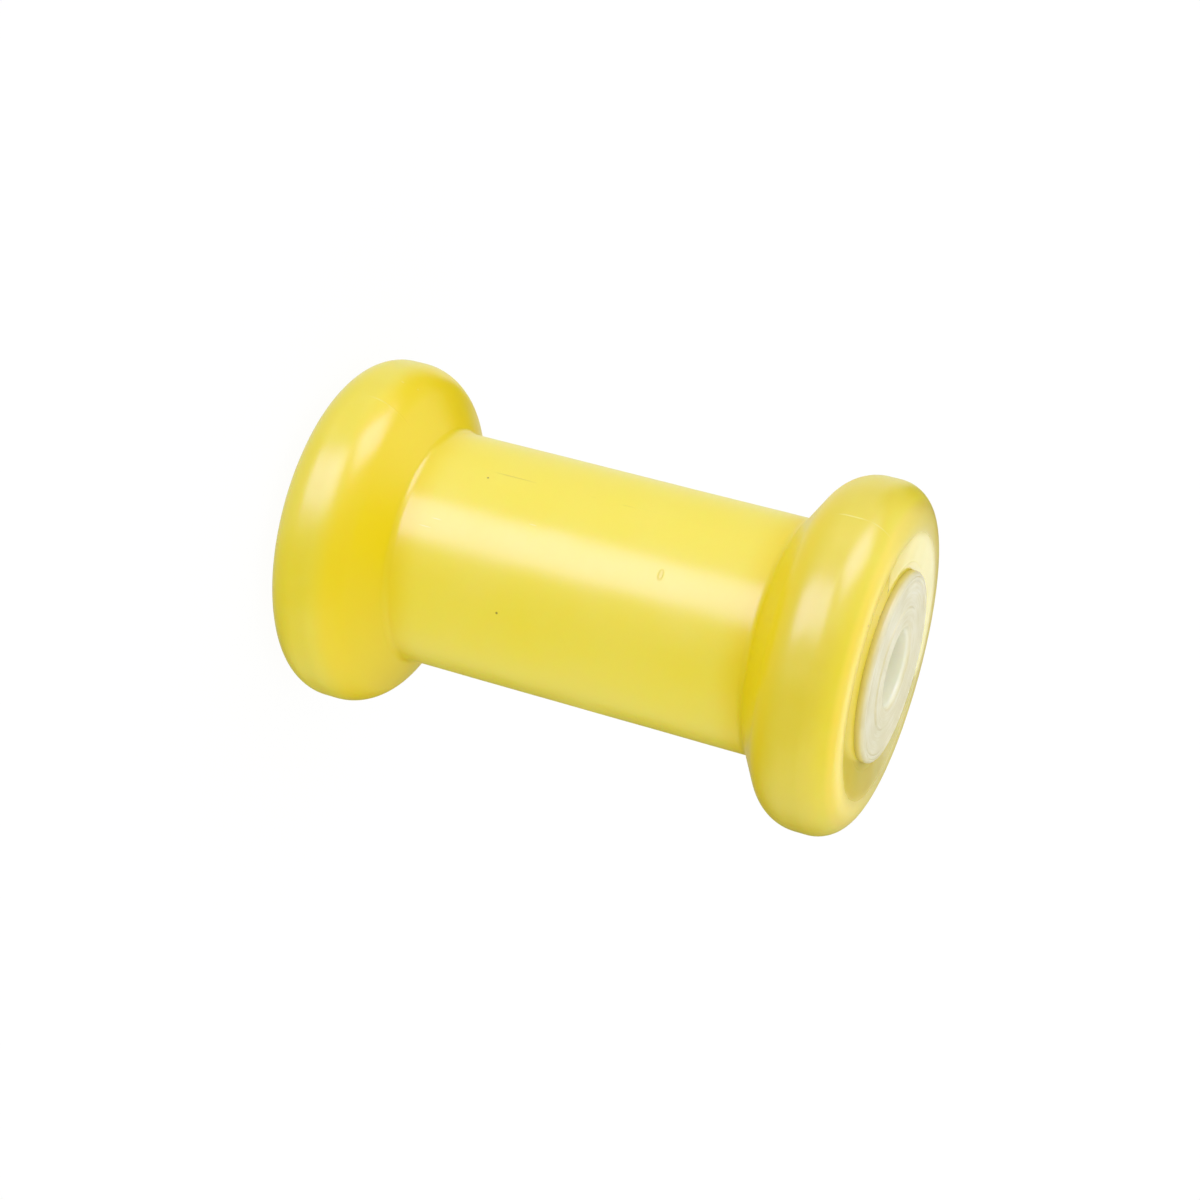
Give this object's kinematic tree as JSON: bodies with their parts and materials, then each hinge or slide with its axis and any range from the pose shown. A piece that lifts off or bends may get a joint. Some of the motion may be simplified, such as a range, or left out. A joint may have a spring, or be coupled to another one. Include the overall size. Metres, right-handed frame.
{
  "type": "boat trailer roller",
  "caption": "Spool shaped boat trailer roller: a smooth barrel between two rounded flanges, moulded over a pale full length hub core with a through bore.",
  "frame": {"origin": "centre of the roller, on the axis of its bore, midway between the two ends", "axes": "+Z along the bore; the roller stands on the end of its core, at -Z. It is round about Z apart from the hidden flutes of the core, and its two ends are alike"},
  "size_m": [0.0762, 0.0762, 0.13],
  "materials": {
    "yellow_body": "smooth, glossy, slightly waxy and translucent moulded yellow thermoplastic rubber",
    "pale_core": "off-white rigid plastic with a satin turned face"
  },
  "bodies": {
    "root": {"roller_body": "yellow_body", "hub_core": "pale_core"}
  },
  "joints": []
}
